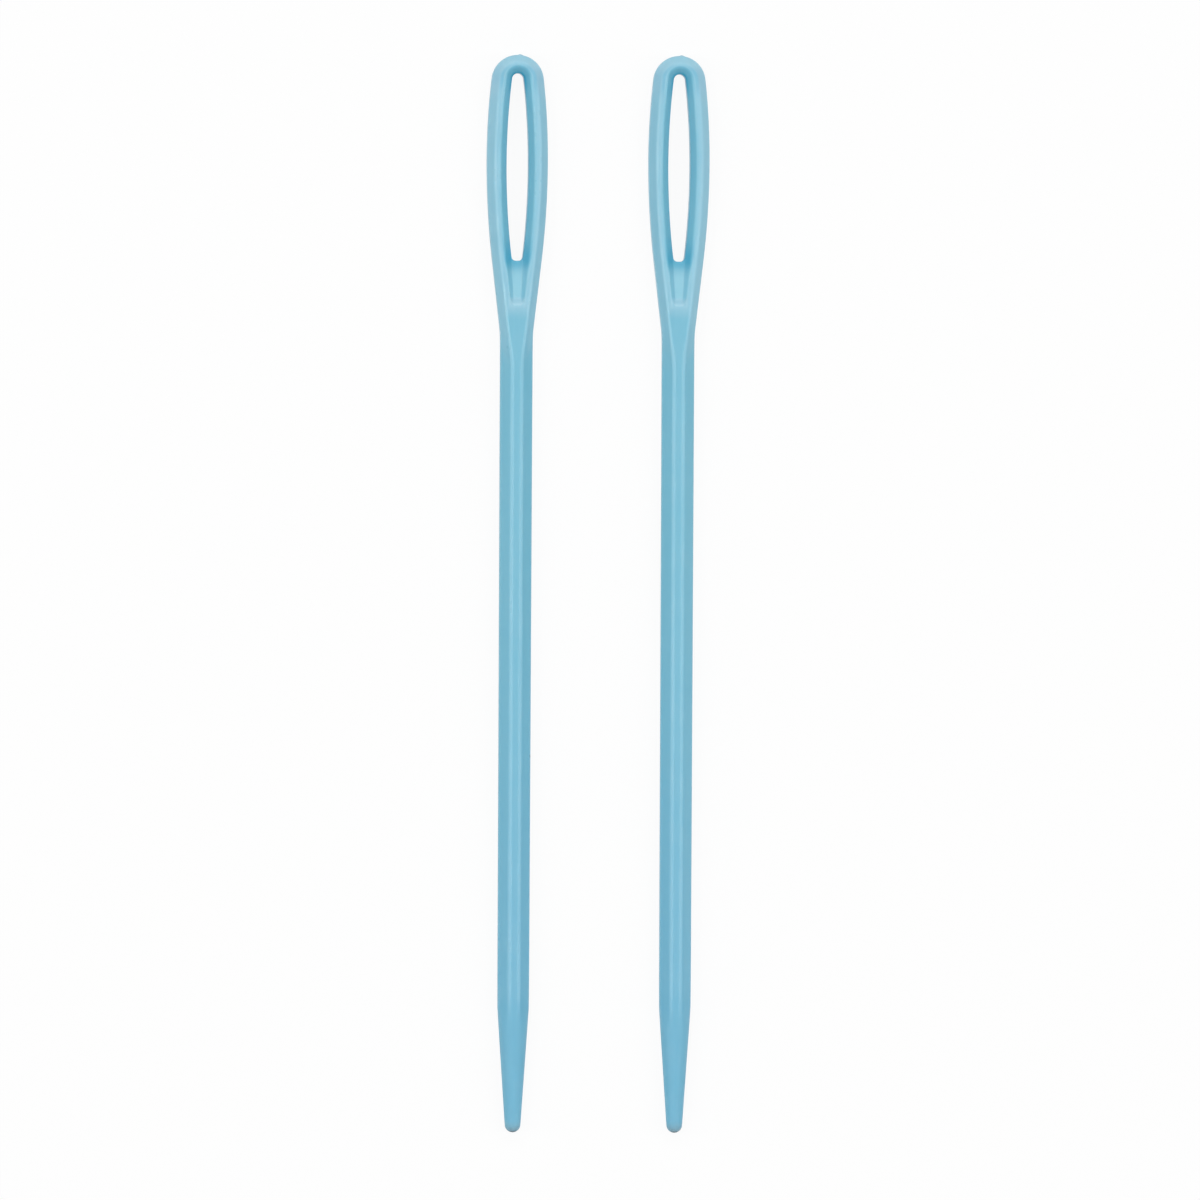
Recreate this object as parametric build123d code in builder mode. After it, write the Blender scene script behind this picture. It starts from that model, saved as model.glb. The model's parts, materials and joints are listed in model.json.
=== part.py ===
from build123d import *
import os
from math import acos, asin, atan2, cos, degrees, radians, sin, tan

# A pair of moulded plastic yarn needles lying side by side on a table. Each has a long shaft
# with eight sides, a round blunt point and a flat eye plate that is bevelled all round, with
# a long eye and a yarn groove below it on both faces. A needle is moulded in one, and its
# solid is kept in two pieces that meet face to face where the eye plate has run out into the
# shaft, so that each piece is simple.
# Y runs along the needles with the eyes at +Y, Z is up and the table is Z = 0.
# The origin is midway between the needles, under the middle of their length.

# Whole needle
needle_length = 90.0  # top of the gate stub to the tip
needle_spacing = 13.53  # axis to axis
body_thickness = 2.5  # upper flat to lower flat, the same from eye to shaft

# Shaft, measured between the faces before their edges are rounded
shaft_width_at_eye = 2.75
shaft_width_at_point = 2.66
shaft_flat_width = 0.85  # upper and lower flats
shaft_side_height = 0.75  # upright land along the mould line on each side
shaft_flat_edge_radius = 0.45
shaft_side_edge_radius = 0.25

# Point
point_nose_radius = 0.66
point_half_angle = 3.85  # degrees

# Eye plate. Distances along the needle are measured from the crown of the plate.
plate_width = 5.12
plate_widest_from_crown = 8.85
plate_crown_radius = 2.19
plate_lower_side_radius = 71.8
plate_flank_angle = 6.6  # degrees, between the needle's axis and the sides that narrow to the neck
plate_bevel_width = 0.62
plate_bevel_depth = 0.75
plate_flat_edge_radius = 0.34
plate_side_edge_radius = 0.2

# Eye and the yarn groove below it
eye_width = 1.84
eye_widest_from_crown = 9.23
eye_top_from_crown = 1.56
eye_bottom_from_crown = 17.19
eye_crown_radius = 0.5
eye_lower_side_radius = 66.0
eye_corner_radius = 0.33
eye_bevel_width = 0.54
eye_bevel_depth = 0.62
groove_mouth_end_from_crown = 21.0
groove_mouth_end_width = 1.04
groove_floor_end_from_crown = 20.3
groove_floor_end_width = 0.12
groove_end_depth = 0.26
groove_floor_corner_radius = 0.05
groove_mouth_corner_radius = 0.25
groove_shoulder_radius = 1.0
groove_shoulder_top_from_crown = 21.17
groove_shoulder_half_width = 0.77  # wider than the groove there, narrower than the flat

# Stub left where the plastic entered the mould, on the crown
gate_width = 0.2  # at its broken top
gate_height = 0.07
gate_offset = 0.25  # to the right of the axis
gate_flare = 45  # degrees

# How far the shaft reaches up inside the eye plate, past the end of the groove
shaft_overlap = 1.1
# How far each edge of the plate's narrow tail is buried under the shaft's flat
tail_inset = 0.12
# Every cut runs this far past what it cuts
overrun = 1.0

mid_height = body_thickness / 2
crown_y = needle_length / 2 - gate_height
tip_y = -needle_length / 2
shaft_top_y = crown_y - groove_mouth_end_from_crown - shaft_overlap
# the point's cone takes over where it is as wide as the shaft
point_start_y = tip_y + point_nose_radius + (
    shaft_width_at_point / 2 - point_nose_radius / cos(radians(point_half_angle))
) / tan(radians(point_half_angle))
# the plate's straight flanks run down from its lower side arcs to its tail, inside the shaft
flank_angle = radians(plate_flank_angle)
flank_top_half_width = plate_width / 2 - plate_lower_side_radius * (1 - cos(flank_angle))
flank_top_y = crown_y - plate_widest_from_crown - plate_lower_side_radius * sin(flank_angle)
tail_half_width = shaft_flat_width / 2 - tail_inset + plate_bevel_width
tail_y = flank_top_y - (flank_top_half_width - tail_half_width) / tan(flank_angle)


def drop_side(crown_radius, half_width, top, widest, lower_radius, lower_angle, flank_foot=None):
    """Right side of a long drop: crown arc, two tangent side arcs and a straight flank to its foot."""
    crown_centre = top - crown_radius
    rise = crown_centre - widest
    upper_radius = (half_width**2 + rise**2 - crown_radius**2) / (2 * (half_width - crown_radius))
    shoulder_angle = degrees(atan2(rise, upper_radius - half_width))
    CenterArc((0, crown_centre), crown_radius, shoulder_angle, 90 - shoulder_angle)
    CenterArc((half_width - upper_radius, widest), upper_radius, 0, shoulder_angle)
    lower = CenterArc((half_width - lower_radius, widest), lower_radius, 0, -lower_angle)
    foot = lower @ 1
    if flank_foot is not None:
        Line(foot, flank_foot)
        foot = Vector(*flank_foot)
    Line(foot, (0, foot.Y))


def plate_outline():
    """The eye plate's outline, down to the tail that is buried in the shaft."""
    drop_side(
        plate_crown_radius,
        plate_width / 2,
        crown_y,
        crown_y - plate_widest_from_crown,
        plate_lower_side_radius,
        plate_flank_angle,
        (tail_half_width, tail_y),
    )


def eye_outline(bevel, groove_foot=None):
    """The eye's outline widened by bevel all round, and carried on down the groove to its foot."""
    lower_height = eye_bottom_from_crown - eye_widest_from_crown
    drop_side(
        eye_crown_radius + bevel,
        eye_width / 2 + bevel,
        crown_y - eye_top_from_crown + bevel,
        crown_y - eye_widest_from_crown,
        eye_lower_side_radius + bevel,
        degrees(asin(lower_height / eye_lower_side_radius)),
        groove_foot,
    )


def across(axis_x, y):
    """The plane that cuts a needle square across at y, centred on its axis, with its own Y upwards."""
    return Plane(origin=(axis_x, y, mid_height), x_dir=(1, 0, 0), z_dir=(0, -1, 0))


def shaft_outline(width):
    """The shaft's eight-sided outline with sharp corners."""
    half_flat = shaft_flat_width / 2
    half_side = shaft_side_height / 2
    quarter = Polyline((0, mid_height), (half_flat, mid_height), (width / 2, half_side), (width / 2, 0))
    half = [quarter, mirror(quarter, about=Plane.YZ)]
    mirror(half, about=Plane.XZ)


def round_corners(section):
    """Round the corners of a shaft section, those of the flats more than those of the side lands."""
    rows = section.vertices().group_by(Axis.Y)
    fillet(rows[0] + rows[-1], shaft_flat_edge_radius)
    columns = section.vertices().group_by(Axis.X)
    fillet(columns[0] + columns[-1], shaft_side_edge_radius)


def lower_corners(outline):
    """The two corners at the lower end of an eye or groove outline."""
    return outline.vertices().filter_by(lambda corner: corner.X != 0).group_by(Axis.Y)[0]


def edges_but_tail(face):
    """The edges of a plate face, but for the tail edge that is buried in the shaft."""
    return face.edges().sort_by(Axis.Y)[1:]


def make_needle(axis_x, side):
    """One needle along Y at axis_x, exported as its eye plate and its shaft, named for their side."""
    plan = Plane(origin=(axis_x, 0, mid_height))
    upright = Plane(origin=(axis_x, 0, mid_height), x_dir=(0, 1, 0), z_dir=(1, 0, 0))
    point_angle = radians(point_half_angle)

    # the shaft and its point
    with BuildPart() as shaft:
        for y, width in (
            (shaft_top_y, shaft_width_at_eye),
            (point_start_y, shaft_width_at_point),
            (tip_y - overrun, shaft_width_at_point),
        ):
            with BuildSketch(across(axis_x, y)) as section:
                with BuildLine():
                    shaft_outline(width)
                make_face()
                round_corners(section)
        loft(ruled=True)
        # the round point: a blunt nose and a cone that opens out until it clears the shaft
        with BuildSketch(upright):
            with BuildLine():
                nose_centre = (tip_y + point_nose_radius, 0)
                nose = CenterArc(nose_centre, point_nose_radius, 180, point_half_angle - 90)
                cone_head = nose @ 1 + Vector(needle_length, needle_length * tan(point_angle))
                Line(nose @ 1, cone_head)
                Line(cone_head, (cone_head.X, 0))
                Line((cone_head.X, 0), nose @ 0)
            make_face()
        revolve(axis=Axis((axis_x, 0, mid_height), (0, 1, 0)), mode=Mode.INTERSECT)
    # the upper groove's cutter: the eye's bevel all round and the groove that runs down from it
    with BuildPart() as groove:
        mouth_foot = (groove_mouth_end_width / 2, crown_y - groove_mouth_end_from_crown)
        floor_foot = (groove_floor_end_width / 2, crown_y - groove_floor_end_from_crown)
        for depth, bevel, foot, corner_radius in (
            (0, eye_bevel_width, mouth_foot, groove_mouth_corner_radius),
            (eye_bevel_depth, 0, floor_foot, groove_floor_corner_radius),
        ):
            with BuildSketch(plan.offset(mid_height - depth)) as section:
                with BuildLine():
                    eye_outline(bevel, foot)
                    mirror(about=Plane.YZ)
                make_face()
                fillet(lower_corners(section), corner_radius)
        loft(ruled=True)
        # the groove's floor rises from the eye to its end
        with BuildSketch(upright):
            ramp_foot = Vector(crown_y - eye_bottom_from_crown, mid_height - eye_bevel_depth)
            ramp_head = Vector(crown_y - groove_mouth_end_from_crown, mid_height - groove_end_depth)
            Polygon(ramp_foot, ramp_head, (ramp_head.X, ramp_foot.Y), align=None)
        extrude(amount=plate_width, both=True, mode=Mode.SUBTRACT)

    # the eye plate, which the shaft joins to make the needle
    with BuildPart() as needle:
        with BuildSketch(plan):
            with BuildLine():
                plate_outline()
                mirror(about=Plane.YZ)
            make_face()
        extrude(amount=mid_height, both=True)
        lower_flat, upper_flat = needle.faces().sort_by(Axis.Z)[0], needle.faces().sort_by(Axis.Z)[-1]
        for face in (lower_flat, upper_flat):
            chamfer(edges_but_tail(face), plate_bevel_width, plate_bevel_depth, reference=face)
        # the side wall between the bevels has its edges rounded
        levels = needle.edges().filter_by(Plane.XY).group_by(Axis.Z)
        fillet(levels[1].sort_by(Axis.Y)[1:] + levels[2].sort_by(Axis.Y)[1:], plate_side_edge_radius)
        with BuildSketch(plan) as eye:
            with BuildLine():
                eye_outline(0)
                mirror(about=Plane.YZ)
            make_face()
            fillet(lower_corners(eye), eye_corner_radius)
        extrude(amount=body_thickness, both=True, mode=Mode.SUBTRACT)
        add(groove.part, mode=Mode.SUBTRACT)
        add(groove.part.mirror(plan), mode=Mode.SUBTRACT)
        # the flat rim round the eye rolls over into the bevels on both sides of it
        lower_rim, upper_rim = needle.faces().sort_by(Axis.Z)[0], needle.faces().sort_by(Axis.Z)[-1]
        for face in (lower_rim, upper_rim):
            fillet(edges_but_tail(face), plate_flat_edge_radius)
        # the groove ends in a rounded shoulder on both faces
        with BuildSketch(upright):
            with BuildLine():
                shoulder_top = Vector(crown_y - groove_shoulder_top_from_crown, mid_height)
                rise = groove_shoulder_radius - groove_end_depth
                turn = degrees(acos(rise / groove_shoulder_radius))
                shoulder_centre = shoulder_top - Vector(0, groove_shoulder_radius)
                shoulder = CenterArc(shoulder_centre, groove_shoulder_radius, 90, -turn)
                Line(shoulder @ 1, ((shoulder @ 1).X, 0))
                Line(((shoulder @ 1).X, 0), (shoulder_top.X, 0))
                Line((shoulder_top.X, 0), shoulder @ 0)
            make_face()
            mirror(about=Plane.XZ)
        extrude(amount=groove_shoulder_half_width, both=True)
        # the gate stub widens on its way down into the crown
        with BuildSketch(across(axis_x + gate_offset, needle_length / 2)):
            Circle(gate_width / 2)
        extrude(amount=plate_bevel_width, taper=-gate_flare)
        add(shaft.part)

    seam = Plane(origin=(axis_x, tail_y, mid_height), z_dir=(0, 1, 0))
    for end, name in ((Keep.TOP, f"{side}_eye_plate"), (Keep.BOTTOM, f"{side}_shaft")):
        with BuildPart() as piece:
            add(needle.part)
            split(bisect_by=seam, keep=end)
        piece.part.label = name
        export_step(piece.part, f"parts/{name}.step")


os.makedirs("parts", exist_ok=True)
make_needle(-needle_spacing / 2, "left")
make_needle(needle_spacing / 2, "right")
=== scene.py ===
import json
from math import asin, atan2, cos, pi, radians, sin, sqrt, tan

import bmesh
import bpy
from mathutils import Matrix, Vector

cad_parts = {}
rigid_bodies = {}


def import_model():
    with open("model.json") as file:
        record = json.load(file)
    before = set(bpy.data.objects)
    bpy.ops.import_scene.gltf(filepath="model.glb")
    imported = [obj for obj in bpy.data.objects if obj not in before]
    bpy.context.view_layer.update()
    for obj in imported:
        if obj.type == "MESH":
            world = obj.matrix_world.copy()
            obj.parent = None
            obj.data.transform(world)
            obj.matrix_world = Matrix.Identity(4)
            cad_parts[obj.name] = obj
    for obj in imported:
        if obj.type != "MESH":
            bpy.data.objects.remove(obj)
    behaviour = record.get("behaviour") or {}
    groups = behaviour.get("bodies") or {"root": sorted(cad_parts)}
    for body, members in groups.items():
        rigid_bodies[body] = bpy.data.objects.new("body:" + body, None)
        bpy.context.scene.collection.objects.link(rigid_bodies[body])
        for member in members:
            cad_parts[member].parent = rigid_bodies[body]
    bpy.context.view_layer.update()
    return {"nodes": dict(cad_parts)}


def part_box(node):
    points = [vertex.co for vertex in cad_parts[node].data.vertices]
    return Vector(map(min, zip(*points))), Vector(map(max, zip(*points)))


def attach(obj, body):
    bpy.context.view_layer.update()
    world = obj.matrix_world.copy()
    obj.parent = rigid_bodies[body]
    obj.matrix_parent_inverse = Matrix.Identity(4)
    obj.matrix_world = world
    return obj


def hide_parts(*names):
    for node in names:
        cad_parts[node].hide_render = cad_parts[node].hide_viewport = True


bl_info = {
    "name": "Yarn needles",
    "version": (1, 0, 0),
    "blender": (4, 5, 0),
    "location": "3D View > Sidebar > Yarn needles",
    "description": "Models a pair of moulded plastic yarn needles and lays them on a white table",
    "category": "Object",
}

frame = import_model()

MILLIMETRE = 0.001
# Closer than this, two places are the same
TINY = 1e-7
# Mirrored points that are closer than this to each other become one
MERGE_DISTANCE = 0.001 * MILLIMETRE

# Steps of an outline of the eye plate: round its crown, then down the upper and the lower arc of
# its side
CROWN_STEPS, UPPER_STEPS, LOWER_STEPS = 12, 9, 10
# Steps from the edge of the groove's floor to the axis
FLOOR_STEPS = 5
# Rows of the groove, its shoulder, the neck, the shaft, the cone and the nose. The cone's first
# rows are denser, because the shaft's facets run out there
GROOVE_ROWS, SHOULDER_ROWS, NECK_ROWS, SHAFT_ROWS = 7, 6, 12, 26
RUN_OUT_ROWS, CONE_ROWS, NOSE_ROWS = 10, 8, 7
RUN_OUT_SHARE = 1 / 4
# How far above and below the parting line its foot is, in how far the line stands proud
PARTING_FOOT = 4
# The gate stub's two steps: how far each rises, in heights of the stub, and its width as a share
# of what it stands on
GATE_STEPS = ((0.3, 0.8), (0.6, 0.55))

# What the mesh stores at each vertex: its edge wear with a painted highlight along it, its painted
# light, its painted glow and its painted shade
SKIN_MARKS = ("wear_and_sheen", "painted_light", "painted_glow", "painted_shade")
# Where the skin's looks set in along a needle: a place, and how far from it, in millimetres, the
# look starts and is full. What ends there is taken as 1 minus it
SKIN_PLACES = {
    "below the crown": ("crown", 0.4, 1.2),
    "upper bevel": ("crown", 0.2, 1.3),
    "below the upper bevel": ("crown", 2.3, 4.2),
    "below the arch": ("crown", 2.0, 4.0),
    "low end of the eye": ("eye bottom", -2.5, 0.0),
    "below the eye": ("eye bottom", 0.0, 0.9),
    "clear floor": ("eye bottom", 0.3, 1.5),
    "shoulder": ("groove end", -0.3, 0.0),
    "band": ("groove end", -0.3, 0.15),
    "below the band": ("shoulder end", -0.3, 0.2),
    "below the flats": ("shoulder end", -0.1, 1.0),
    "cone": ("cone", -1.0, 0.0),
}
# How far the skin faces up, from 0 to 1, where each kind of surface starts and is fully that kind
FACING_UP = {
    "not a side": (0.1, 0.4),
    "bevel": (0.2, 0.5),
    "band": (0.5, 0.75),
    "groove floor": (0.8, 0.97),
    "flat": (0.85, 0.98),
}
# The same for how far it faces the eye
FACING_EYE = (0.05, 0.3)
# How sharply the skin turns, per metre, where its edge wear and painted edge highlight start and
# where they are full
SHARP = (1 / (0.75 * MILLIMETRE), 1 / (0.3 * MILLIMETRE))
# Half of the width of the band, a painted highlight across the shoulder, where it starts to fade
# and where it has faded
BAND_EDGE = (0.55 * MILLIMETRE, 0.95 * MILLIMETRE)
# Skin this little below the flats still counts as flat, not as groove, and the shade round the
# arch starts this far below the crown
GROOVE_LIP = 0.03 * MILLIMETRE
ARCH_START = 0.5 * MILLIMETRE
# How strong the painted light, the painted glow, the painted shade and the loss of edge wear and
# highlight on the plate are, where the plate's painted glow, the groove floor's painted glow and
# the arch's painted shade are 1
CROWN_HIGHLIGHT, BAND_HIGHLIGHT, GROOVE_GLOW, SHOULDER_HIGHLIGHT = 0.2, 0.65, 0.3, 1.1
GROOVE_WALL_GLOW = 0.3
SIDE_SHADE, EYE_WALL_SHADE, LOW_END_SHADE, CONE_SHADE = 0.5, 0.25, 0.6, 0.1
ARCH_BEVEL_SHADE, ARCH_FLAT_SHADE = 0.15, 0.45
PLATE_WEAR_AND_SHEEN_LOSS = 0.7

# The patterns in the plastic: the size of their largest blots, and their detail
MOTTLE = (1.8 * MILLIMETRE, 2)
STREAKS = (0.25 * MILLIMETRE, 3)
GRAIN = (0.09 * MILLIMETRE, 1)
# The streaks run along the needle
STREAK_SCALE = (1, 0.03, 1)
NOISE_MIDDLE = 0.5
# How far the mottle and the streaks cloud the colour, and how much of that shows in the painted
# light and edge wear
MOTTLE_CLOUD, STREAK_CLOUD, CLOUD_IN_PAINTED_LIGHT = 0.16, 0.12, 0.3
# How far each look changes the colour: the painted glow, the painted light, the edge wear with its
# painted highlight, the nose's painted shade, the painted shadow round the tip's rim and the specks
GLOW_CHANGE, PAINTED_LIGHT_CHANGE, WEAR_AND_SHEEN_CHANGE = 0.20, 0.10, 0.025
NOSE_SHADE_CHANGE, TIP_SHADOW_CHANGE, SPECK_CHANGE = 0.55, 0.8, 0.6
# The least strength of the nose's painted shade, and what the mottle adds at most
NOSE_SHADE_BASE = NOSE_SHADE_MOTTLE = 0.6
# Lengths from the tip: the fade to the point's darker colour (a painted fall-off of the light), the
# nose's painted shade, the painted shadow round its rim, and the dull end
POINT_FADE = 55 * MILLIMETRE
NOSE_SHADE_REACH = 1.1 * MILLIMETRE
TIP_SHADOW_REACH = 0.2 * MILLIMETRE
DULL_REACH = (8 * MILLIMETRE, 11 * MILLIMETRE)
# Specks: their spacing, their radius and its soft edge as shares of that, and the part of the
# places that has none
SPECK_SPACING = 5 * MILLIMETRE
SPECK_EDGE = (0.02, 0.045)
SPECK_RARITY = (0.80, 0.82)
# The skin's relief, and the shares that the streaks and the grain have in it
RELIEF = 0.007 * MILLIMETRE
STREAK_RELIEF, GRAIN_RELIEF = 0.7, 0.3
# What mottle, wear and the dull end add to the roughness
MOTTLE_ROUGHNESS, WORN_ROUGHNESS, DULL_ROUGHNESS = 0.10, -0.05, 0.18
REFRACTIVE_INDEX = 1.49
# How far light spreads in the plastic, in red, green and blue
SCATTER_SHARES = (0.6, 0.9, 1.0)
SCATTER_REACH = 0.8 * MILLIMETRE

# Each softbox: its name, the way that it stands from the needles, clockwise from their eyes as
# the camera sees them, its angle from straight above, its width and height in metres, and its
# power in watts
LAMP_DISTANCE = 0.8
LAMPS = (
    ("left softbox", radians(270), radians(42), (0.22, 0.9), 2.02),
    ("upper left softbox", radians(270), radians(20), (0.22, 0.9), 0.62),
    ("right softbox", radians(90), radians(42), (0.22, 0.9), 2.14),
    ("far softbox", radians(0), radians(35), (0.9, 0.25), 2.30),
    ("low far softbox", radians(0), radians(80), (0.9, 0.25), 0.87),
    ("near softbox", radians(180), radians(60), (0.9, 0.25), 0.95),
)
WORLD_STRENGTH = 0.232
TABLE_SIZE = 3.0
TABLE_WHITENESS = 0.85
# Share of plain white in the table as it is seen. The rest shows the needles' shadow
TABLE_GLOW = 0.92
SENSOR_WIDTH = 36
FARTHEST_SEEN = 10


class Socket:
    """One value, colour or vector of a material, with Python's operators."""

    def __init__(self, shader, socket):
        self.shader = shader
        self.socket = socket

    def __getitem__(self, output):
        """Another output of the same node."""
        return Socket(self.shader, self.socket.node.outputs[output])

    def maths(self, operation, first, second):
        return self.shader.node("Math", {"operation": operation}, [first, second])

    def __add__(self, other):
        return self.maths("ADD", self, other)

    def __sub__(self, other):
        return self.maths("SUBTRACT", self, other)

    def __rsub__(self, other):
        return self.maths("SUBTRACT", other, self)

    def __mul__(self, other):
        return self.maths("MULTIPLY", self, other)

    __radd__ = __add__
    __rmul__ = __mul__

    def clamped(self):
        return self.shader.node("Clamp", {}, [self])

    def red(self):
        return self.shader.node("SeparateColor", {}, [self], "Red")

    def rising(self, low, high):
        """0 below low, 1 above high and a smooth step between them."""
        return self.shader.node(
            "MapRange",
            {"interpolation_type": "SMOOTHSTEP"},
            {"Value": self, "From Min": low, "From Max": high},
        )


class Shader:
    """A material whose nodes are made by one method."""

    # The Mix node's sockets for its factor, its two colours and its result. Others share their
    # names and serve its other kinds of data
    MIX_FACTOR, MIX_FIRST, MIX_SECOND, MIX_RESULT = 0, 6, 7, 2

    def __init__(self, name):
        self.material = bpy.data.materials.new(name)
        self.material.use_nodes = True
        self.tree = self.material.node_tree
        self.tree.nodes.clear()

    def node(self, kind, settings, inputs, output=0):
        """Adds a node, sets it up, feeds it values or sockets and returns one output, if any."""
        made = self.tree.nodes.new("ShaderNode" + kind)
        for name, value in settings.items():
            setattr(made, name, value)
        pairs = inputs.items() if isinstance(inputs, dict) else enumerate(inputs)
        for key, value in pairs:
            if isinstance(value, Socket):
                self.tree.links.new(value.socket, made.inputs[key])
            else:
                made.inputs[key].default_value = value
        return Socket(self, made.outputs[output]) if made.outputs else None

    def attribute(self, name):
        """A number that the mesh stores at its vertices."""
        return self.node("Attribute", {"attribute_name": name}, [], "Fac")

    def noise(self, place, size, detail):
        """Clouds from 0 to 1 whose largest blots are about size."""
        inputs = {"Vector": place, "Scale": 1 / size, "Detail": detail}
        return self.node("TexNoise", {}, inputs, "Fac")

    def mixed(self, factor, first, second):
        """Two colours mixed by factor."""
        inputs = {self.MIX_FACTOR: factor, self.MIX_FIRST: first, self.MIX_SECOND: second}
        return self.node("Mix", {"data_type": "RGBA"}, inputs, self.MIX_RESULT)

    def finish(self, surface):
        self.node("OutputMaterial", {}, {"Surface": surface})
        return self.material


def length_setting(name, description, millimetres):
    """A length that a user can change."""
    return bpy.props.FloatProperty(
        name=name, description=description, default=millimetres * MILLIMETRE,
        unit="LENGTH", precision=6, min=0,
    )


def angle_setting(name, description, degrees):
    """An angle that a user can change."""
    return bpy.props.FloatProperty(
        name=name, description=description, subtype="ANGLE", default=radians(degrees)
    )


def share_setting(name, description, default):
    """A number from 0 to 1 that a user can change."""
    return bpy.props.FloatProperty(
        name=name, description=description, default=default, min=0, max=1
    )


def colour_setting(name, description, default):
    """A colour that a user can change."""
    return bpy.props.FloatVectorProperty(
        name=name, description=description, default=default,
        subtype="COLOR", size=3, min=0, max=1,
    )


class NeedleSizes(bpy.types.PropertyGroup):
    """Sizes of a needle. A place along it is measured from its crown, the top of the eye plate."""

    plate_widest: length_setting("Plate widest", "Widest place of the eye plate", 8.85)
    crown_radius: length_setting("Crown radius", "Radius of the top of the eye plate", 2.19)
    plate_lower_radius: length_setting(
        "Plate lower radius", "Radius of the plate's sides below their widest place", 71.8
    )
    flank_angle: angle_setting(
        "Flank angle", "Angle between the axis and the sides that narrow to the neck", 6.6
    )
    plate_side: length_setting("Plate side", "Height of the upright side of the plate", 1.0)
    plate_bevel: length_setting("Plate bevel", "Width of the bevel round the plate", 0.62)
    plate_side_rounding: length_setting(
        "Plate side rounding", "Radius between the plate's side and bevel", 0.2
    )
    plate_flat_rounding: length_setting(
        "Plate flat rounding", "Radius between the plate's bevel and flat", 0.34
    )
    eye_width: length_setting("Eye width", "Width of the eye at its widest place", 1.84)
    eye_widest: length_setting("Eye widest", "Widest place of the eye", 9.23)
    eye_top: length_setting("Eye top", "Top of the eye", 1.56)
    eye_bottom: length_setting("Eye bottom", "Bottom of the eye", 17.19)
    eye_crown_radius: length_setting("Eye crown radius", "Radius of the top of the eye", 0.5)
    eye_lower_radius: length_setting(
        "Eye lower radius", "Radius of the eye's sides below their widest place", 66.0
    )
    eye_corner_radius: length_setting(
        "Eye corner radius", "Radius of the eye's lower corners", 0.33
    )
    eye_bevel: length_setting("Eye bevel", "Width of the bevel round the eye", 0.54)
    eye_bevel_depth: length_setting("Eye bevel depth", "Depth of the bevel round the eye", 0.62)
    eye_wall_rounding: length_setting(
        "Eye wall rounding", "Radius between the eye's bevel and wall", 0.15
    )
    groove_end: length_setting("Groove end", "Place where the groove meets its shoulder", 20.43)
    groove_depth: length_setting("Groove depth", "Depth of the groove at its shoulder", 0.3)
    groove_width: length_setting("Groove width", "Width of the groove at its shoulder", 1.2)
    groove_floor: length_setting(
        "Groove floor", "Width of the groove's floor at its shoulder", 0.66
    )
    shoulder_end: length_setting(
        "Shoulder end", "Place where the shoulder meets the flat", 21.17
    )
    neck_end: length_setting(
        "Neck end", "Place where the eye plate has run out into the shaft", 27.12
    )
    shaft_width: length_setting("Shaft width", "Width of the shaft at the eye plate", 2.75)
    point_width: length_setting(
        "Point width", "Width of the shaft where its point starts", 2.66
    )
    shaft_flat: length_setting("Shaft flat", "Width of the shaft's upper and lower flats", 0.85)
    shaft_side: length_setting("Shaft side", "Height of the upright sides of the shaft", 0.75)
    shaft_side_rounding: length_setting(
        "Shaft side rounding", "Radius between the shaft's side and facet", 0.25
    )
    shaft_flat_rounding: length_setting(
        "Shaft flat rounding", "Radius between the shaft's facet and flat", 0.45
    )
    nose_radius: length_setting("Nose radius", "Radius of the blunt tip", 0.66)
    point_angle: angle_setting(
        "Point angle", "Angle between the axis and the sides of the point", 3.85
    )
    parting_line: length_setting(
        "Parting line", "How far the mould's parting line stands proud", 0.012
    )
    gate_height: length_setting("Gate height", "Height of the broken stub on the crown", 0.07)
    gate_offset: length_setting(
        "Gate offset", "How far the stub stands to the right of the axis", 0.25
    )


class PlasticSettings(bpy.types.PropertyGroup):
    """The needles' plastic."""

    body: colour_setting("Body colour", "Colour of the moulded plastic", (0.195, 0.506, 0.648))
    # The point colour is darker than the body: painted shade for the fall-off of the light towards
    # the point
    point: colour_setting(
        "Point colour", "Colour of the plastic at the point", (0.186, 0.484, 0.655)
    )
    # Colour of the painted light (glow through the thin plate and floor, highlights on the crown
    # and the shoulder) and of the edge wear
    painted_light_and_wear: colour_setting("Haze colour", "Colour that the handled skin fades to", (0.95, 0.97, 1))
    # Colour of the painted glow of light through the groove's thin floor
    painted_glow: colour_setting("Thin colour", "Colour that thin plastic clears to", (0.62, 0.95, 1))
    # Colour of the painted shade
    painted_shade: colour_setting("Deep colour", "Colour of plastic in its own shade", (0.03, 0.36, 0.55))
    # Colour of the painted shade on the nose, which faces away from the lamps
    nose_shade: colour_setting("Scuff colour", "Colour of the scuffed tip", (0.30, 0.36, 0.38))
    # Colour of the painted shadow round the rim of the tip
    tip_shadow: colour_setting("Grime colour", "Colour of the rim of the tip", (0.05, 0.08, 0.09))
    speck: colour_setting(
        "Speck colour", "Colour of the specks in the plastic", (0.08, 0.22, 0.30)
    )
    roughness: share_setting("Roughness", "Roughness of the moulded skin", 0.30)
    translucency: share_setting(
        "Translucency", "Share of the light that enters the plastic", 0.25
    )


class StageSettings(bpy.types.PropertyGroup):
    """The camera over the table."""

    roll: angle_setting(
        "Camera roll", "How far the camera leans to the left of straight above", 4
    )
    twist: angle_setting("Camera twist", "Turn of the picture about the line of sight", 0.28)
    view_width: length_setting("View width", "Width of the table that the picture shows", 100.18)
    lens: bpy.props.FloatProperty(
        name="Lens", description="Focal length of the camera", default=600
    )
    aim: bpy.props.FloatVectorProperty(
        name="Aim", description="Point that the camera looks at", size=3, subtype="TRANSLATION",
        default=(0.00034, -0.00054, 0.00125),
    )


def colour(setting):
    """A colour setting as a colour socket takes it, with its alpha."""
    return (*setting, 1.0)


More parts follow.
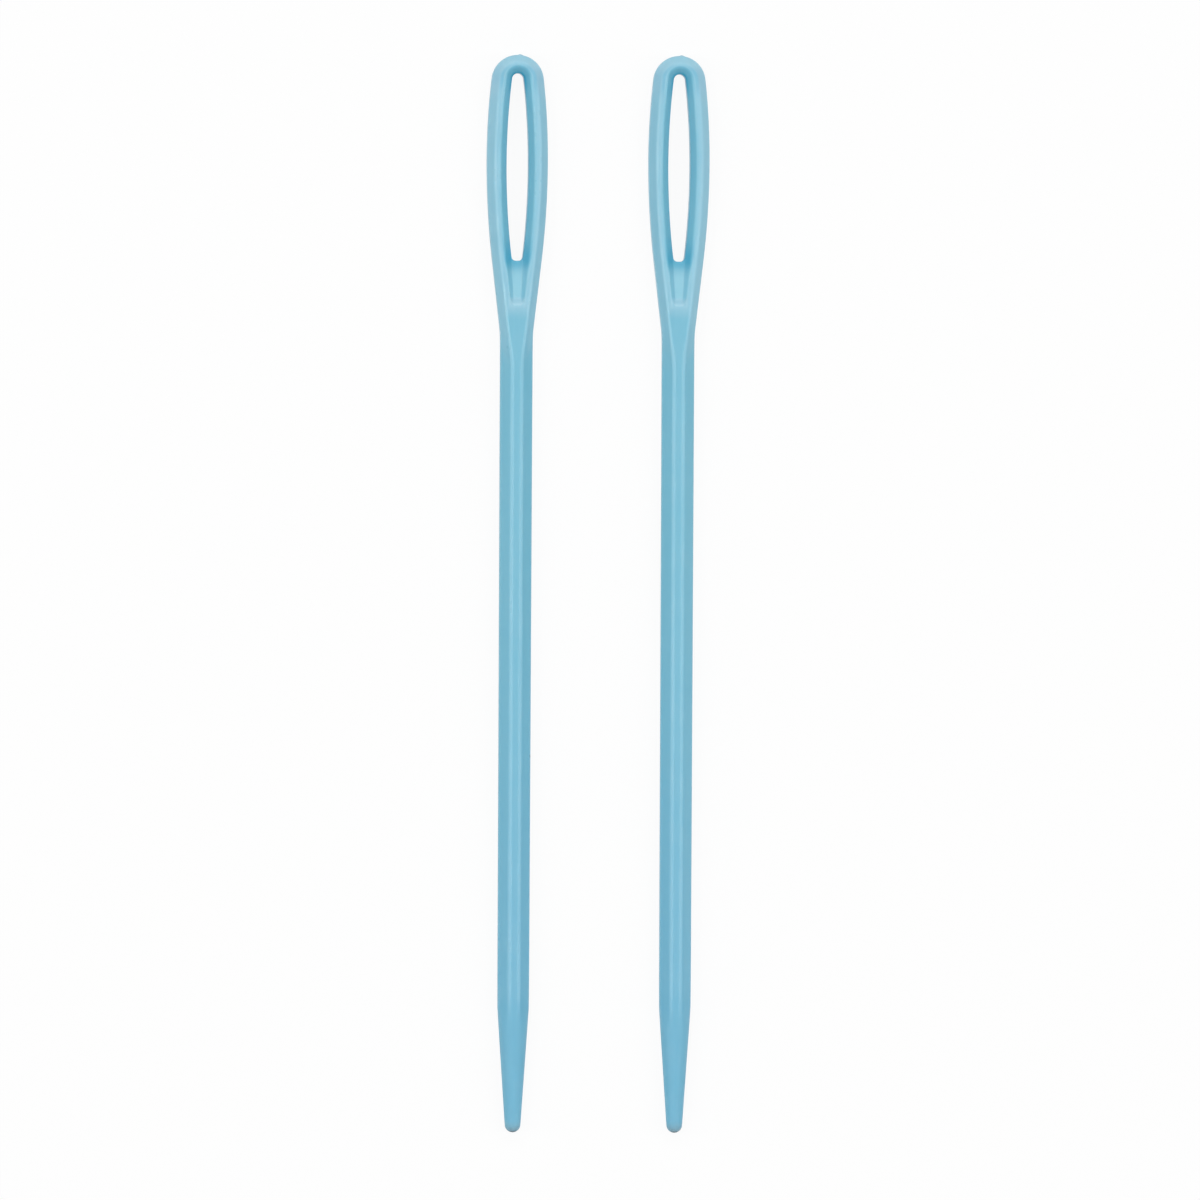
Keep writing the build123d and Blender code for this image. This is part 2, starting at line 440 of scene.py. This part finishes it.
def plastic(settings, tip):
    """Satin light blue plastic, as it comes out of the mould, with painted light and shade on it.
    Tip is Y of the needle's tip.
    """
    shader = Shader("needle plastic")
    place = shader.node("TexCoord", {}, [], "Object")
    along = shader.node("SeparateXYZ", {}, [place], "Y")
    wear_and_sheen, painted_light, painted_glow, painted_shade = (shader.attribute(name) for name in SKIN_MARKS)
    mottle = shader.noise(place, *MOTTLE)
    stretched = shader.node("VectorMath", {"operation": "MULTIPLY"}, [place, STREAK_SCALE])
    streaks = shader.noise(stretched, *STREAKS)
    grain = shader.noise(place, *GRAIN)
    cell = shader.node("TexVoronoi", {}, {"Vector": place, "Scale": 1 / SPECK_SPACING})

    # the body fades to the darker point colour, a painted fall-off of the light along the needle
    to_point = 1 - along.rising(tip, tip + POINT_FADE)
    cloud = (mottle - NOISE_MIDDLE) * MOTTLE_CLOUD + (streaks - NOISE_MIDDLE) * STREAK_CLOUD
    # edge wear lightens the sharp convex edges, together with a painted highlight along them
    edge_wear_and_sheen = wear_and_sheen * (1 - to_point) * (streaks + NOISE_MIDDLE) * WEAR_AND_SHEEN_CHANGE
    # painted light: glow through the thin plate and floor and highlights on the crown and the
    # shoulder, with the edge wear and some of the cloud
    painted_light_and_wear = painted_light * PAINTED_LIGHT_CHANGE + edge_wear_and_sheen - cloud * CLOUD_IN_PAINTED_LIGHT
    # painted shade on the nose
    near_tip = 1 - along.rising(tip, tip + NOSE_SHADE_REACH)
    nose_shaded = near_tip * (mottle * NOSE_SHADE_MOTTLE + NOSE_SHADE_BASE)
    # painted shadow round the tip's rim
    tip_shadowed = 1 - along.rising(tip, tip + TIP_SHADOW_REACH)
    speck = (1 - cell["Distance"].rising(*SPECK_EDGE)) * cell["Color"].red().rising(*SPECK_RARITY)
    body = colour(settings.body)
    # layers on the body: the point's painted fall-off of light, painted shade, painted glow,
    # painted light with edge wear, the nose's painted shade, the tip's painted shadow and the
    # specks
    for factor, layer in (
        (to_point, settings.point),
        # painted shade
        ((painted_shade + cloud).clamped(), settings.painted_shade),
        # painted glow on the groove's floor
        (painted_glow * GLOW_CHANGE, settings.painted_glow),
        (painted_light_and_wear.clamped(), settings.painted_light_and_wear),
        (nose_shaded.clamped() * NOSE_SHADE_CHANGE, settings.nose_shade),
        (tip_shadowed * TIP_SHADOW_CHANGE, settings.tip_shadow),
        (speck * SPECK_CHANGE, settings.speck),
    ):
        body = shader.mixed(factor, body, colour(layer))

    dulled = 1 - along.rising(*(tip + reach for reach in DULL_REACH))
    roughness = (
        settings.roughness
        + (mottle - NOISE_MIDDLE) * MOTTLE_ROUGHNESS
        + wear_and_sheen * WORN_ROUGHNESS
        + dulled * DULL_ROUGHNESS
    )
    height = streaks * STREAK_RELIEF + grain * GRAIN_RELIEF
    return shader.finish(shader.node("BsdfPrincipled", {}, {
        "Base Color": body,
        "Roughness": roughness,
        "IOR": REFRACTIVE_INDEX,
        "Subsurface Weight": settings.translucency,
        "Subsurface Radius": SCATTER_SHARES,
        "Subsurface Scale": SCATTER_REACH,
        "Normal": shader.node("Bump", {}, {"Distance": RELIEF, "Height": height}),
    }))


def white_table():
    """White to the camera and in the plastic's gloss, with a trace of the needles' shadow."""
    shader = Shader("white table")
    white = (TABLE_WHITENESS, TABLE_WHITENESS, TABLE_WHITENESS, 1)
    diffuse = shader.node("BsdfDiffuse", {}, {"Color": white})
    glow = shader.node("Emission", {}, {"Color": (1, 1, 1, 1), "Strength": 1})
    ray = shader.node("LightPath", {}, [])
    seen = ray["Is Camera Ray"] + ray["Is Transmission Ray"] + ray["Is Glossy Ray"]
    return shader.finish(
        shader.node("MixShader", {}, [seen.clamped() * TABLE_GLOW, diffuse, glow])
    )


def between(share, first, last):
    return first + (last - first) * share


def smooth_step(value, low, high):
    """0 up to low, 1 from high and a smooth rise between them."""
    share = min(max((value - low) / (high - low), 0), 1)
    return share * share * (3 - 2 * share)


def evenly(first, last, steps):
    """The places that follow first, up to last."""
    return [between(i / steps, first, last) for i in range(1, steps + 1)]


def rounded(before, corner, after, radius):
    """The start, middle and end of the arc that rounds a corner of a profile."""
    back, on = (before - corner).normalized(), (after - corner).normalized()
    half = back.angle(on) / 2
    reach = radius / tan(half)
    middle = corner + (back + on).normalized() * (radius / sin(half) - radius)
    return [corner + back * reach, middle, corner + on * reach]


class NeedleShape:
    """A needle's profiles as points (x, z). X is measured from its axis and Z from its middle."""

    # Where the line lies on the plate's bevel, and on the shaft's facet, that becomes the crease
    # between them, as a share of the way up
    CREASE_LOW, CREASE_HIGH, CREASE_ON_SHAFT = 0.2, 0.8, 0.5

    def __init__(self, sizes, plate_box, shaft_box):
        self.s = s = sizes
        low, high = plate_box
        self.top = (high.z - low.z) / 2
        self.half_plate = (high.x - low.x) / 2
        self.crown = high.y - s.gate_height
        self.tip = self.crown - shaft_box[0].y
        self.foot_height = PARTING_FOOT * s.parting_line
        self.flank_top = s.plate_widest + s.plate_lower_radius * sin(s.flank_angle)
        self.flank_top_half = self.half_plate - s.plate_lower_radius * (1 - cos(s.flank_angle))
        self.nose = self.tip - s.nose_radius
        cone_narrows = s.point_width / 2 - s.nose_radius / cos(s.point_angle)
        self.point_start = self.nose - cone_narrows / tan(s.point_angle)
        self.cone_end = self.nose + s.nose_radius * sin(s.point_angle)
        # how far the eye's side has turned where its corner arc is tangent to it
        run = s.eye_bottom - s.eye_widest - s.eye_corner_radius
        self.corner_turn = asin(run / (s.eye_lower_radius - s.eye_corner_radius))
        self.eye_bevel, self.eye_wall = self.eye_profiles()
        self.shoulder_flat = self.side_at(s.shoulder_end)[-1].x

    def side_profile(self, side, side_height, flat, crease, side_rounding, flat_rounding):
        """From the parting line up the side and the bevel or facet to the start of the flat."""
        foot = Vector((side - self.s.parting_line, self.foot_height))
        edge = Vector((flat, self.top))
        lower = rounded(foot, Vector((foot.x, side_height)), crease, side_rounding)
        upper = rounded(crease, edge, Vector((0, self.top)), flat_rounding)
        return [
            Vector((side, 0)), foot, *lower, between(0.5, lower[-1], crease),
            crease, between(0.5, crease, upper[0]), *upper,
        ]

    def plate_profile(self):
        s = self.s
        side, flat = self.half_plate, self.half_plate - s.plate_bevel
        crease = between(
            self.CREASE_LOW, Vector((side, s.plate_side / 2)), Vector((flat, self.top))
        )
        return self.side_profile(
            side, s.plate_side / 2, flat, crease, s.plate_side_rounding, s.plate_flat_rounding
        )

    def eye_profiles(self):
        """From the flat down the eye's bevel to its rim, and on to the middle of its wall. X is
        the way out of the eye."""
        s = self.s
        mouth = Vector((s.eye_bevel, self.top))
        rim = Vector((0, self.top - s.eye_bevel_depth))
        upper = rounded(Vector((self.half_plate, self.top)), mouth, rim, s.plate_flat_rounding)
        lower = rounded(mouth, rim, Vector((0, 0)), s.eye_wall_rounding)
        return [*upper, between(0.5, upper[-1], lower[0]), lower[0]], [*lower[1:], Vector((0, 0))]

    def side_at(self, place):
        """The side profile at a place below the eye, where the plate runs out into the shaft."""
        s = self.s
        plate = self.flank_top_half - (place - self.flank_top) * tan(s.flank_angle)
        along = (place - s.shoulder_end) / (self.point_start - s.shoulder_end)
        shaft = between(min(max(along, 0), 1), s.shaft_width, s.point_width) / 2
        side = max(plate, shaft)
        taken_over = smooth_step(shaft - plate, 0, s.plate_bevel / 4)
        side_height = between(taken_over, s.plate_side, s.shaft_side) / 2
        flat = max(plate - s.plate_bevel, s.shaft_flat / 2)
        bevel_slope = (self.top - s.plate_side / 2) / s.plate_bevel
        facet_slope = (self.top - s.shaft_side / 2) / (shaft - s.shaft_flat / 2)
        rise = (s.plate_side - s.shaft_side) / 2
        crossing = (rise + plate * bevel_slope - shaft * facet_slope) / (bevel_slope - facet_slope)
        share = min(max((side - crossing) / (side - flat), self.CREASE_LOW), self.CREASE_HIGH)
        on_shaft = smooth_step(place, s.neck_end, self.point_start)
        x = between(between(on_shaft, share, self.CREASE_ON_SHAFT), side, flat)
        height = max(
            s.plate_side / 2 + (plate - x) * bevel_slope,
            s.shaft_side / 2 + (shaft - x) * facet_slope,
        )
        return self.side_profile(
            side, side_height, flat, Vector((x, height)),
            between(taken_over, s.plate_side_rounding, s.shaft_side_rounding),
            between(taken_over, s.plate_flat_rounding, s.shaft_flat_rounding),
        )

    def groove_depth_at(self, place):
        s = self.s
        if place < s.groove_end:
            start = self.top - self.eye_bevel[-1].y
            along = (place - s.eye_bottom) / (s.groove_end - s.eye_bottom)
            return between(along, start, s.groove_depth)
        # the shoulder is an arc that is level where it meets the flat
        run = s.shoulder_end - s.groove_end
        radius = (run * run + s.groove_depth * s.groove_depth) / (2 * s.groove_depth)
        left = max(s.shoulder_end - place, 0)
        return radius - sqrt(radius * radius - left * left)

    def groove_at(self, place, flat_start):
        """From the flat, down into the groove and over its floor to the axis."""
        s = self.s
        rim = self.eye_bevel[-1]
        # the groove starts where the eye's corner does, as wide as the eye is there
        centre = s.eye_width / 2 - s.eye_lower_radius
        start_mouth = centre + (s.eye_lower_radius + s.eye_bevel) * cos(self.corner_turn)
        start_floor = centre + (s.eye_lower_radius + rim.x) * cos(self.corner_turn)
        start = s.eye_widest + (s.eye_lower_radius + s.eye_bevel) * sin(self.corner_turn)
        along = min((place - start) / (s.groove_end - start), 1)
        mouth = between(along, start_mouth, s.groove_width / 2)
        floor = between(along, start_floor, s.groove_floor / 2)
        depth = self.groove_depth_at(place)
        points = [
            Vector((
                floor + (mouth - floor) * (point.x - rim.x) / (s.eye_bevel - rim.x),
                self.top - depth * (self.top - point.y) / (self.top - rim.y),
            ))
            for point in self.eye_bevel
        ]
        points += [Vector((x, self.top - depth)) for x in evenly(floor, 0, FLOOR_STEPS)]
        if place <= s.shoulder_end:
            return points
        # on the flat the lines spread out evenly
        spread = smooth_step(place, s.shoulder_end, s.neck_end)
        return [
            Vector((between(spread, point.x * flat_start / self.shoulder_flat, x), self.top))
            for point, x in zip(points, evenly(flat_start, 0, len(points)))
        ]

    def row(self, place):
        """All points at a place below the eye, from the parting line to the axis."""
        side = self.side_at(place)
        points = side + self.groove_at(place, side[-1].x)
        limit = self.round_radius(place)
        return [point * min(1, limit / point.length) for point in points]

    def round_radius(self, place):
        """The radius of the point's cone and nose, which cuts the shaft's corners away."""
        s = self.s
        if place < self.cone_end:
            return s.nose_radius / cos(s.point_angle) + (self.nose - place) * tan(s.point_angle)
        return sqrt(max(s.nose_radius**2 - (place - self.nose) ** 2, 0))

    def row_places(self):
        """Places of the rows that follow the eye's bottom, down to the last one above the tip."""
        s = self.s
        run_out = between(RUN_OUT_SHARE, self.point_start, self.cone_end)
        places = []
        for start, end, rows in (
            (s.eye_bottom, s.groove_end, GROOVE_ROWS),
            (s.groove_end, s.shoulder_end, SHOULDER_ROWS),
            (s.shoulder_end, s.neck_end, NECK_ROWS),
            (s.neck_end, self.point_start, SHAFT_ROWS),
            (self.point_start, run_out, RUN_OUT_ROWS),
            (run_out, self.cone_end, CONE_ROWS),
        ):
            places += evenly(start, end, rows)
        nose_angles = evenly(s.point_angle, pi / 2, NOSE_ROWS)[:-1]
        return places + [self.nose + s.nose_radius * sin(angle) for angle in nose_angles]


class Modeller:
    """A new mesh object in edit mode, shaped row by row."""

    def __init__(self, name):
        bpy.ops.object.select_all(action="DESELECT")
        bpy.ops.mesh.primitive_plane_add(size=MILLIMETRE, location=(0, 0, 0))
        self.object = bpy.context.active_object
        self.object.name = self.object.data.name = name
        bpy.ops.object.mode_set(mode="EDIT")
        bpy.ops.mesh.select_mode(type="VERT")
        bpy.ops.mesh.delete(type="VERT")

    def mesh(self):
        return bmesh.from_edit_mesh(self.object.data)

    def show(self):
        """Shows Blender what was selected or moved in the mesh."""
        bmesh.update_edit_mesh(self.object.data)

    def draw(self, points):
        """Draws a chain of edges through points, from a plane merged to one vertex."""
        bpy.ops.mesh.select_all(action="DESELECT")
        bpy.ops.mesh.primitive_plane_add(size=MILLIMETRE, location=points[0])
        bpy.ops.mesh.merge(type="CENTER")
        for start, end in zip(points, points[1:]):
            bpy.ops.mesh.extrude_vertices_move(TRANSFORM_OT_translate={"value": end - start})
        bpy.ops.mesh.select_linked()

    def sweep(self, centre, angle, steps):
        """Spins the selected chain clockwise about centre."""
        bpy.ops.mesh.spin(
            steps=steps, angle=angle, center=(*centre, 0), axis=(0, 0, 1), dupli=False,
            use_auto_merge=False, use_normal_flip=False,
        )

    def sweep_outline(self, crown, top, top_radius, widest, half_width, lower_radius, lower_turn):
        """Sweeps the drawn profile round the top of the plate or the eye and down its side."""
        rise = widest - top - top_radius
        upper_radius = half_width**2 + rise**2 - top_radius**2
        upper_radius /= 2 * (half_width - top_radius)
        upper_turn = atan2(rise, upper_radius - half_width)
        self.sweep((0, crown - top - top_radius), pi / 2 - upper_turn, CROWN_STEPS)
        self.sweep((half_width - upper_radius, crown - widest), upper_turn, UPPER_STEPS)
        self.sweep((half_width - lower_radius, crown - widest), lower_turn, LOWER_STEPS)

    def select_edges(self, wanted):
        """Selects only the open edges that wanted accepts."""
        bpy.ops.mesh.select_mode(type="EDGE")
        bpy.ops.mesh.select_all(action="DESELECT")
        for edge in self.mesh().edges:
            if edge.is_boundary and wanted(*(vertex.co for vertex in edge.verts)):
                edge.select = True
        self.show()

    def extrude_edges(self, move):
        bpy.ops.mesh.extrude_edges_move(TRANSFORM_OT_translate={"value": move})

    def add_row(self, y, points):
        """Extrudes the selected chain and places the new one at y, from its outside to the axis."""
        self.extrude_edges((0, 0, 0))
        ends = [v for v in self.mesh().verts if v.select and abs(v.co.z) < TINY]
        row = [max(ends, key=lambda v: v.co.x)]
        while True:
            onward = [
                edge.other_vert(row[-1]) for edge in row[-1].link_edges
                if edge.select and edge.other_vert(row[-1]) not in row
            ]
            if not onward:
                break
            row.append(onward[0])
        for vertex, point in zip(row, points, strict=True):
            vertex.co = (point.x, y, point.y)
        self.show()


def model_head(modeller, shape):
    """A quarter of the eye plate, from its crown to the bottom of its eye."""
    s = shape.s
    crown = shape.crown

    # the plate's side and bevel
    modeller.draw([
        Vector((0, crown - shape.half_plate + point.x, point.y)) for point in shape.plate_profile()
    ])
    modeller.sweep_outline(
        crown, 0, s.crown_radius, s.plate_widest, shape.half_plate,
        s.plate_lower_radius, s.flank_angle,
    )

    # the eye's bevel and wall
    half_eye = s.eye_width / 2
    modeller.draw([
        Vector((0, crown - s.eye_top + point.x, point.y))
        for point in shape.eye_bevel + shape.eye_wall
    ])
    modeller.sweep_outline(
        crown, s.eye_top, s.eye_crown_radius, s.eye_widest, half_eye,
        s.eye_lower_radius, shape.corner_turn,
    )

    # the eye's wall turns its lower corner and ends on the axis
    centre = Vector((half_eye - s.eye_lower_radius, crown - s.eye_widest))
    corner = centre + (s.eye_lower_radius - s.eye_corner_radius) * Vector(
        (cos(shape.corner_turn), -sin(shape.corner_turn))
    )
    rim_height = shape.eye_bevel[-1].y
    mesh = modeller.mesh()
    for vertex in mesh.verts:
        if vertex.co.z > rim_height + TINY:
            vertex.select = False
    mesh.select_flush_mode()
    modeller.show()
    modeller.sweep(corner, pi / 2 - shape.corner_turn, FLOOR_STEPS - 1)
    bpy.ops.mesh.select_mode(type="EDGE")
    modeller.extrude_edges((-corner.x, 0, 0))

    # the flat rim joins both
    modeller.select_edges(lambda a, b: min(a.z, b.z) > shape.top - TINY)
    bpy.ops.mesh.bridge_edge_loops()


def model_body(modeller, shape):
    """A quarter of the groove, the neck, the shaft and the point, row by row."""
    modeller.select_edges(
        lambda a, b: max(abs(a.x), abs(b.x)) > TINY and max(abs(a.z), abs(b.z)) > TINY
    )
    for place in shape.row_places():
        modeller.add_row(shape.crown - place, shape.row(place))
    modeller.extrude_edges((0, 0, 0))
    bpy.ops.mesh.select_mode(type="VERT")
    bpy.ops.mesh.merge(type="CENTER")
    for vertex in modeller.mesh().verts:
        if vertex.select:
            vertex.co = (0, shape.crown - shape.tip, 0)
    modeller.show()


def model_gate(modeller, shape):
    """The stub on the crown where the plastic entered the mould."""
    s = shape.s
    bpy.ops.mesh.select_mode(type="FACE")
    bpy.ops.mesh.select_all(action="DESELECT")
    for face in modeller.mesh().faces:
        centre = face.calc_center_median()
        face.select = (
            centre.y > shape.crown - s.gate_height
            and abs(centre.x - s.gate_offset) < s.gate_offset
            and abs(centre.z) < shape.foot_height
        )
    modeller.show()
    for rise, scale in GATE_STEPS:
        bpy.ops.mesh.extrude_region_move(
            TRANSFORM_OT_translate={"value": (0, rise * s.gate_height, 0)}
        )
        bpy.ops.transform.resize(value=(scale, 1, 1))


def model_needle(sizes, plate_box, shaft_box):
    """One needle in one piece, with its axis on Y and its middle at height 0."""
    shape = NeedleShape(sizes, plate_box, shaft_box)
    modeller = Modeller("left_needle")
    model_head(modeller, shape)
    model_body(modeller, shape)
    bpy.ops.object.mode_set(mode="OBJECT")

    # the quarter is mirrored to the other side and the underside
    needle = modeller.object
    mirror = needle.modifiers.new("Other quarters", "MIRROR")
    mirror.use_axis = (True, False, True)
    mirror.merge_threshold = MERGE_DISTANCE
    bpy.ops.object.modifier_apply(modifier=mirror.name)
    bpy.ops.object.mode_set(mode="EDIT")
    bpy.ops.mesh.select_all(action="SELECT")
    bpy.ops.mesh.normals_make_consistent(inside=False)
    model_gate(modeller, shape)
    bpy.ops.object.mode_set(mode="OBJECT")

    surface = needle.modifiers.new("Smooth skin", "SUBSURF")
    surface.levels = surface.render_levels = 1
    bpy.ops.object.modifier_apply(modifier=surface.name)
    bpy.ops.object.shade_smooth()
    check = bmesh.new()
    check.from_mesh(needle.data)
    if any(not edge.is_manifold for edge in check.edges):
        raise RuntimeError("the needle's mesh isn't closed")
    check.free()
    mark_skin(needle, shape)
    return needle


def sharpness(mesh):
    """How sharply the skin turns outwards at each vertex, per metre."""
    turns = [0.0] * len(mesh.vertices)
    for edge in mesh.edges:
        first, second = (mesh.vertices[i] for i in edge.vertices)
        run = second.co - first.co
        turn = (second.normal - first.normal).dot(run) / run.length_squared
        for i in edge.vertices:
            turns[i] = max(turns[i], turn)
    return turns


def skin_at(shape, co, normal, turn):
    """The edge wear with its painted highlight, the painted light, the painted glow and the painted
    shade of the skin, where it turns outwards by turn per metre.
    """
    s = shape.s
    along = shape.crown - co.y
    starts = {
        "crown": 0, "eye bottom": s.eye_bottom, "groove end": s.groove_end,
        "shoulder end": s.shoulder_end, "cone": shape.point_start,
    }
    at = {
        name: smooth_step((along - starts[start]) / MILLIMETRE, low, high)
        for name, (start, low, high) in SKIN_PLACES.items()
    }
    up = {name: smooth_step(abs(normal.z), *limits) for name, limits in FACING_UP.items()}
    side = 1 - up["not a side"]
    eye_centre = min(max(along, s.eye_top + s.eye_width / 2), s.eye_bottom - s.eye_width / 2)
    outwards = Vector((co.x, eye_centre - along, 0)).normalized()
    facing_eye = smooth_step(-normal.dot(outwards), *FACING_EYE)
    in_groove = (
        s.eye_bottom - s.eye_corner_radius < along < s.shoulder_end
        and abs(co.z) < shape.top - GROOVE_LIP
        and abs(co.x) < shape.side_at(max(along, s.eye_bottom))[-1].x
    )

    # the plate's painted light, a glow through the thin plate and a highlight, is strongest round
    # the crown. It ends at the shoulder on the flats and along the neck on the bevels, and a band
    # of painted highlight crosses the shoulder
    bevel_end = smooth_step(along, s.shoulder_end, s.neck_end)
    plate = between(up["flat"], 1 - bevel_end, 1 - at["below the flats"])
    upper_bevel = at["upper bevel"] * (1 - at["below the upper bevel"]) * up["bevel"]
    crown_sheen = (1 - at["below the crown"]) * CROWN_HIGHLIGHT + upper_bevel * (1 - up["flat"])
    band = at["band"] * (1 - at["below the band"]) * up["band"]
    band *= 1 - smooth_step(abs(co.x), *BAND_EDGE)

    # painted shade inside the eye's arch, round its low end and on upright sides, and a painted
    # glow on the groove's floor
    arch = 1 - at["below the arch"]
    low_end = at["low end of the eye"] * (1 - at["below the eye"])
    painted_glow = 0
    if in_groove:
        wall_to_floor = between(up["groove floor"], GROOVE_WALL_GLOW, 1)
        painted_glow = wall_to_floor * at["clear floor"] * (1 - at["shoulder"])
        # painted glow on the groove's floor and a painted highlight on its shoulder
        painted_light = between(at["shoulder"], GROOVE_GLOW * at["clear floor"], SHOULDER_HIGHLIGHT)
        painted_shade = LOW_END_SHADE * low_end
    else:
        # the plate's painted glow and highlight, except where the skin faces the eye
        painted_light = plate * (1 - facing_eye) * (1 + crown_sheen)
        depth = shape.top - abs(co.z)
        if facing_eye > 0:
            rim = smooth_step(depth, s.eye_bevel_depth / 2, s.eye_bevel_depth)
            arch *= between(rim, ARCH_BEVEL_SHADE, 1)
            painted_shade = facing_eye * max(arch, EYE_WALL_SHADE * side, LOW_END_SHADE * low_end)
        else:
            arch *= ARCH_FLAT_SHADE * smooth_step(along, ARCH_START, s.eye_top)
            painted_shade = max(SIDE_SHADE * side, arch)
    # painted shade on the cone
    painted_shade = max(painted_shade, CONE_SHADE * at["cone"])
    # edge wear with a painted highlight on sharp edges, less of it on the plate
    wear_and_sheen = smooth_step(turn, *SHARP) * (1 - at["cone"]) * (1 - PLATE_WEAR_AND_SHEEN_LOSS * plate)
    return wear_and_sheen, painted_light + BAND_HIGHLIGHT * band, painted_glow, painted_shade


def mark_skin(needle, shape):
    """Stores the skin's edge wear, painted light, painted glow and painted shade in the mesh, for
    its material.
    """
    mesh = needle.data
    looks = [
        skin_at(shape, vertex.co, vertex.normal, turn)
        for vertex, turn in zip(mesh.vertices, sharpness(mesh))
    ]
    for name, values in zip(SKIN_MARKS, zip(*looks)):
        mesh.attributes.new(name, "FLOAT", "POINT").data.foreach_set("value", values)


class NEEDLES_OT_mould(bpy.types.Operator):
    """Model the left needle and copy it to the right"""

    bl_idname = "yarn_needles.mould"
    bl_label = "Mould the needles"

    def execute(self, context):
        sizes = context.scene.yarn_needle_sizes
        boxes = {name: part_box(name) for name in frame["nodes"]}
        left = model_needle(sizes, boxes["left_eye_plate"], boxes["left_shaft"])
        bpy.ops.object.select_all(action="DESELECT")
        left.select_set(True)
        context.view_layer.objects.active = left
        bpy.ops.object.duplicate()
        right = context.active_object
        right.name = right.data.name = "right_needle"
        material = plastic(context.scene.yarn_needle_plastic, boxes["left_shaft"][0].y)
        for side, needle in (("left", left), ("right", right)):
            low, high = boxes[f"{side}_eye_plate"]
            bpy.ops.object.select_all(action="DESELECT")
            needle.select_set(True)
            context.view_layer.objects.active = needle
            bpy.ops.transform.translate(value=((low.x + high.x) / 2, 0, (low.z + high.z) / 2))
            bpy.ops.object.transform_apply(location=True, rotation=False, scale=False)
            needle.data.materials.append(material)
            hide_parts(f"{side}_eye_plate", f"{side}_shaft")
            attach(needle, f"{side}_needle")
        return {"FINISHED"}


def hang_lamp(name, azimuth, tilt, size, power):
    """A rectangular softbox that faces the needles."""
    data = bpy.data.lights.new(name, "AREA")
    data.shape = "RECTANGLE"
    data.size, data.size_y = size
    data.energy = power
    box = bpy.data.objects.new(name, data)
    box.location = LAMP_DISTANCE * Vector(
        (sin(tilt) * sin(azimuth), sin(tilt) * cos(azimuth), cos(tilt))
    )
    box.rotation_euler = (-box.location).to_track_quat("-Z", "Y").to_euler()
    bpy.context.scene.collection.objects.link(box)


def place_camera(settings):
    """A camera above the needles that leans to their left."""
    data = bpy.data.cameras.new("camera")
    data.lens = settings.lens
    data.sensor_width = SENSOR_WIDTH
    data.clip_end = FARTHEST_SEEN
    camera = bpy.data.objects.new("camera", data)
    distance = settings.lens / SENSOR_WIDTH * settings.view_width
    towards_camera = Vector((-sin(settings.roll), 0, cos(settings.roll)))
    up = Matrix.Rotation(settings.twist, 3, towards_camera) @ Vector((0, 1, 0))
    right = up.cross(towards_camera)
    turn = Matrix((right, up, towards_camera)).transposed().to_4x4()
    move = Matrix.Translation(Vector(settings.aim) + towards_camera * distance)
    camera.matrix_world = move @ turn
    bpy.context.scene.collection.objects.link(camera)
    bpy.context.scene.camera = camera


class NEEDLES_OT_stage(bpy.types.Operator):
    """Lay the white table, hang the lamps and place the camera"""

    bl_idname = "yarn_needles.stage"
    bl_label = "Set the stage"

    def execute(self, context):
        bpy.ops.object.select_all(action="DESELECT")
        bpy.ops.mesh.primitive_plane_add(size=TABLE_SIZE, location=(0, 0, 0))
        table = context.active_object
        table.name = "table"
        table.data.materials.append(white_table())

        world = bpy.data.worlds.new("studio")
        context.scene.world = world
        world.use_nodes = True
        inputs = world.node_tree.nodes["Background"].inputs
        inputs["Color"].default_value = (1, 1, 1, 1)
        inputs["Strength"].default_value = WORLD_STRENGTH

        for lamp in LAMPS:
            hang_lamp(*lamp)
        place_camera(context.scene.yarn_needle_stage)
        context.scene.view_settings.view_transform = "Standard"
        return {"FINISHED"}


class NEEDLES_PT_sidebar(bpy.types.Panel):
    """Lists the needles' steps and settings"""

    bl_idname = "NEEDLES_PT_sidebar"
    bl_label = "Yarn needles"
    bl_space_type = "VIEW_3D"
    bl_region_type = "UI"
    bl_category = "Yarn needles"

    def draw(self, context):
        layout = self.layout
        for step in STEPS:
            layout.operator(step.bl_idname)
        for setting in SETTINGS:
            group = getattr(context.scene, setting)
            box = layout.box()
            for name in group.__annotations__:
                box.prop(group, name)


STEPS = (NEEDLES_OT_mould, NEEDLES_OT_stage)
SETTINGS = {
    "yarn_needle_sizes": NeedleSizes,
    "yarn_needle_plastic": PlasticSettings,
    "yarn_needle_stage": StageSettings,
}
CLASSES = (*SETTINGS.values(), *STEPS, NEEDLES_PT_sidebar)


def register():
    for item in CLASSES:
        bpy.utils.register_class(item)
    for name, group in SETTINGS.items():
        setattr(bpy.types.Scene, name, bpy.props.PointerProperty(type=group))


def unregister():
    for name in SETTINGS:
        delattr(bpy.types.Scene, name)
    for item in reversed(CLASSES):
        bpy.utils.unregister_class(item)


def main():
    register()
    bpy.ops.yarn_needles.mould()
    bpy.ops.yarn_needles.stage()


if __name__ == "__main__":
    main()
